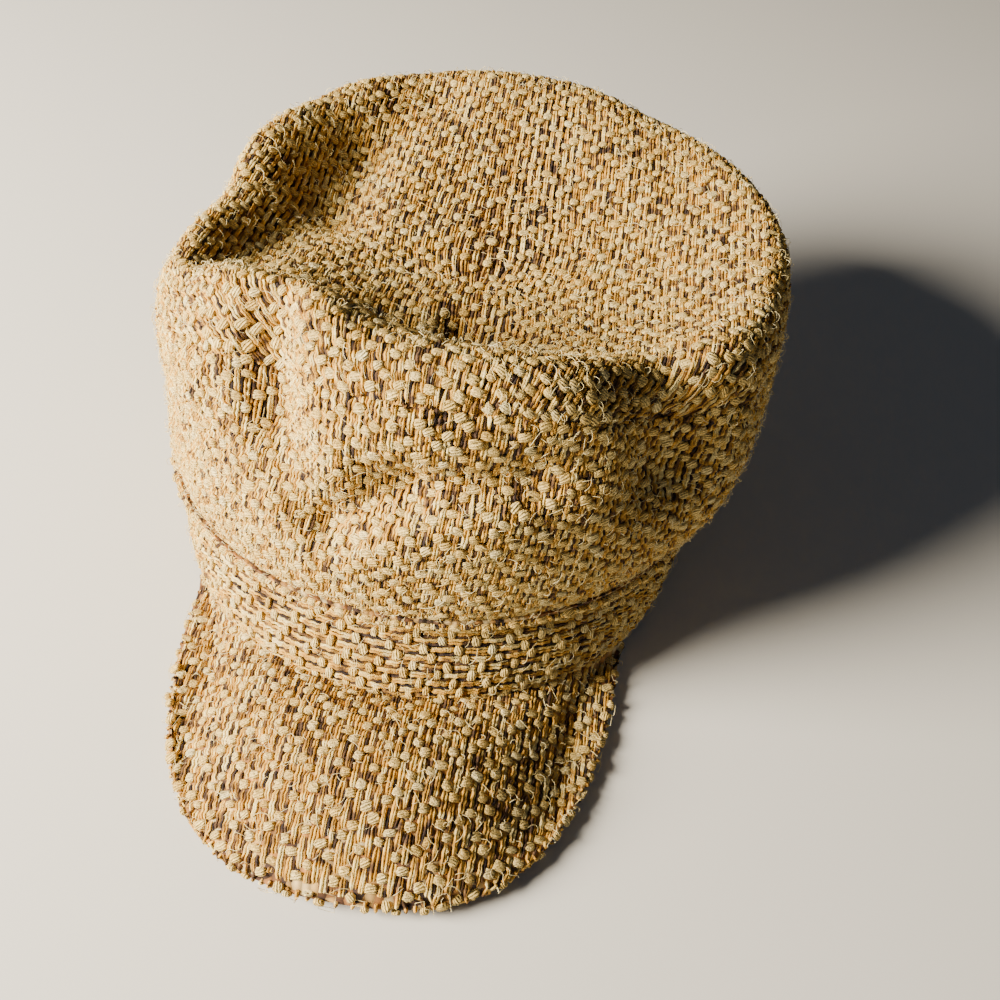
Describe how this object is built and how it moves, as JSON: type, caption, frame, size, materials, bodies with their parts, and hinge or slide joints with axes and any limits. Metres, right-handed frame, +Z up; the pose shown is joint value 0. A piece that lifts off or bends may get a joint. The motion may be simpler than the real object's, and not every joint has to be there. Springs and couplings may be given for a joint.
{
  "type": "baker boy cap",
  "caption": "Soft baker-boy cap in chunky tweed: round crown top sunk behind a turned-up front fold, bulging side crown, plain hat band and short rounded peak.",
  "frame": {"origin": "under the middle of the whole cap's bounding box, on the surface the cap lies on", "axes": "+Z up from the surface, -Y towards the peak, +X to the wearer's left"},
  "size_m": [0.2218, 0.317, 0.136],
  "materials": {
    "crown_top_tweed": "matte, coarse woven",
    "crown_side_tweed": "matte, coarse woven",
    "band_tweed": "matte, coarse woven",
    "peak_tweed": "matte, coarse woven"
  },
  "bodies": {
    "root": {"crown_top": "crown_top_tweed", "crown_side": "crown_side_tweed", "band": "band_tweed", "peak": "peak_tweed"}
  },
  "joints": []
}
